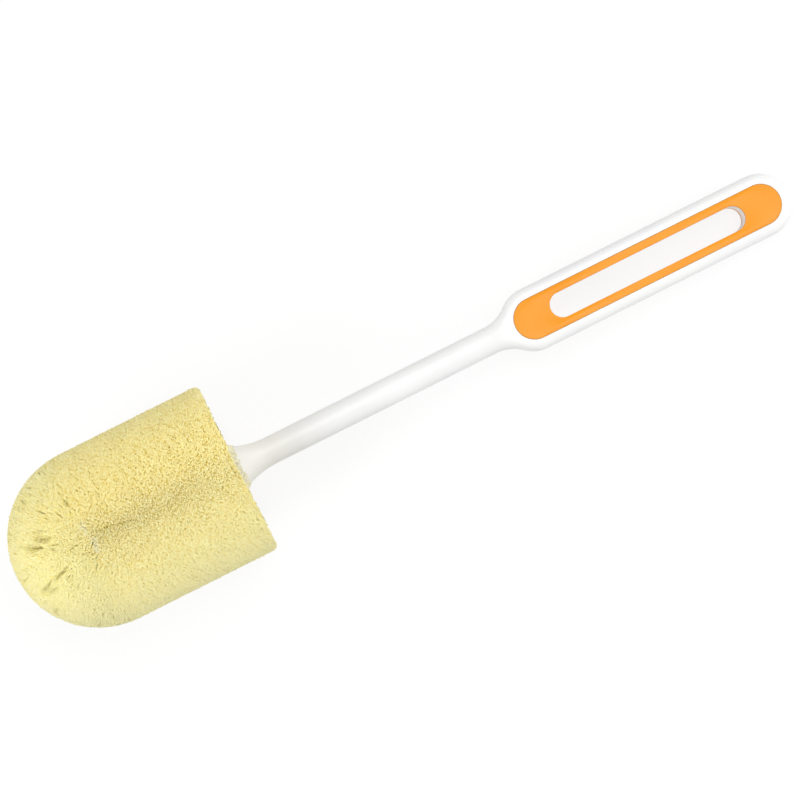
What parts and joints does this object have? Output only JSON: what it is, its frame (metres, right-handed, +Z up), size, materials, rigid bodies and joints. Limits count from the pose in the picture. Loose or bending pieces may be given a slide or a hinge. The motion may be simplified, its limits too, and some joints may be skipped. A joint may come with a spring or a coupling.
{
  "type": "cup brush",
  "caption": "Bottle and cup cleaning brush: a dense soft bristle head with a round end on a slim moulded handle with a flat slotted grip and soft inlays.",
  "frame": {"origin": "middle of the base of the whole brush as it lies on a table, resting on the back rim of the bristles and on the underside of the grip's end", "axes": "+X runs from the bristle head to the grip, seen from above; +Z is up, and the grip's front face looks up; +Y is the brush's width. The brush's own axis falls by 6.83 degrees from the head to the grip"},
  "size_m": [0.2788, 0.0594, 0.0651],
  "materials": {
    "white_polypropylene": "moulded, satin gloss",
    "orange_soft_rubber": "moulded, satin",
    "core_polypropylene": "moulded, matt",
    "yellow_bristle": "fine soft filaments, semi-translucent"
  },
  "bodies": {
    "root": {"handle": "white_polypropylene", "grip_inlay_front": "orange_soft_rubber", "grip_inlay_back": "orange_soft_rubber", "core_spine": "core_polypropylene", "bristle_row_01": "yellow_bristle", "bristle_row_02": "yellow_bristle", "bristle_row_03": "yellow_bristle", "bristle_row_04": "yellow_bristle", "bristle_row_05": "yellow_bristle", "bristle_row_06": "yellow_bristle", "bristle_row_07": "yellow_bristle", "bristle_row_08": "yellow_bristle", "bristle_row_09": "yellow_bristle", "bristle_row_10": "yellow_bristle", "bristle_row_11": "yellow_bristle", "bristle_row_12": "yellow_bristle", "bristle_row_13": "yellow_bristle", "bristle_row_14": "yellow_bristle", "bristle_row_15": "yellow_bristle", "bristle_row_16": "yellow_bristle", "bristle_tip": "yellow_bristle"}
  },
  "joints": []
}
